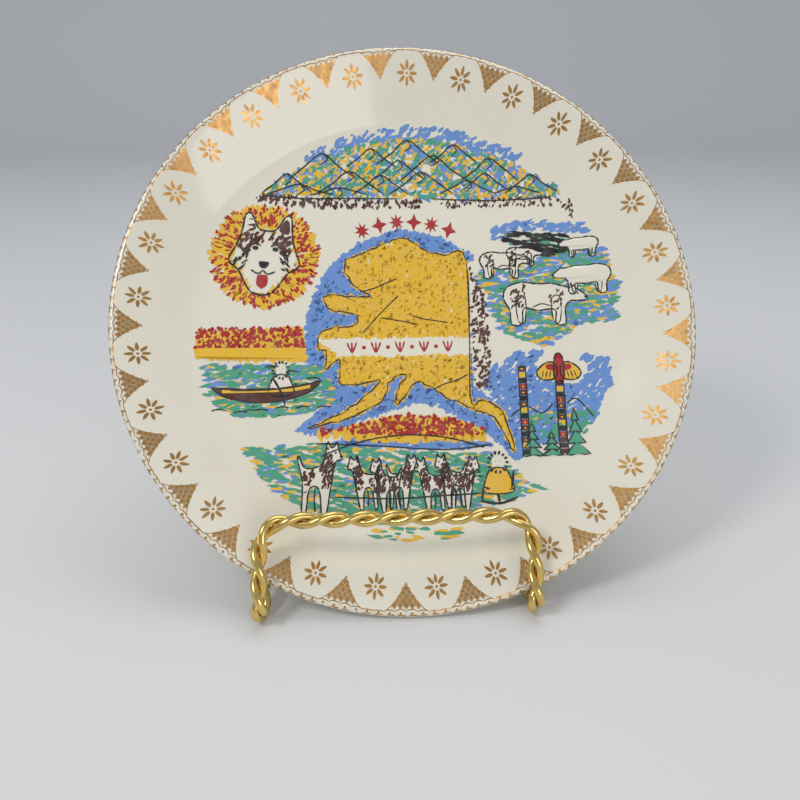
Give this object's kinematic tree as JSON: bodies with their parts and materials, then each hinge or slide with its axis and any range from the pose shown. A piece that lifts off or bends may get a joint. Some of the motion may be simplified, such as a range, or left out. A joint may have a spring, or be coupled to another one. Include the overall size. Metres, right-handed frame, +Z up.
{
  "type": "souvenir plate",
  "caption": "Cream earthenware souvenir plate with a gold lace rim and painted northern scenes, leaning on a folding easel of twisted brass wire.",
  "frame": {"origin": "on the table under the middle of the bounding box of the plate and its open easel", "axes": "+Z up; the plate's face looks toward -Y and leans back; +X to the right as seen from the front"},
  "size_m": [0.184, 0.1162, 0.1529],
  "materials": {
    "glazed_earthenware": "gloss",
    "brass_wire": "polished",
    "brass_fittings": "satin"
  },
  "bodies": {
    "easel_frame": {"front_wire_a": "brass_wire", "front_wire_b": "brass_wire", "front_splice_sleeve": "brass_fittings", "pivot_rod": "brass_fittings"},
    "rear_leg": {"rear_wire_a": "brass_wire", "rear_wire_b": "brass_wire", "hinge_knuckle_left": "brass_fittings", "hinge_knuckle_right": "brass_fittings"},
    "plate": {"plate_body": "glazed_earthenware"}
  },
  "joints": [
    {"name": "rear_leg_fold", "type": "hinge", "parent": "easel_frame", "child": "rear_leg", "pos_m": [-0.0052, 0.03625, 0.09364], "axis": [-1, 0, 0], "range_deg": [0, 46.3]},
    {"name": "plate_lift_out", "type": "slide", "parent": "easel_frame", "child": "plate", "axis": [0, 0.5635, 0.8261], "range_m": [0, 0.15]}
  ]
}
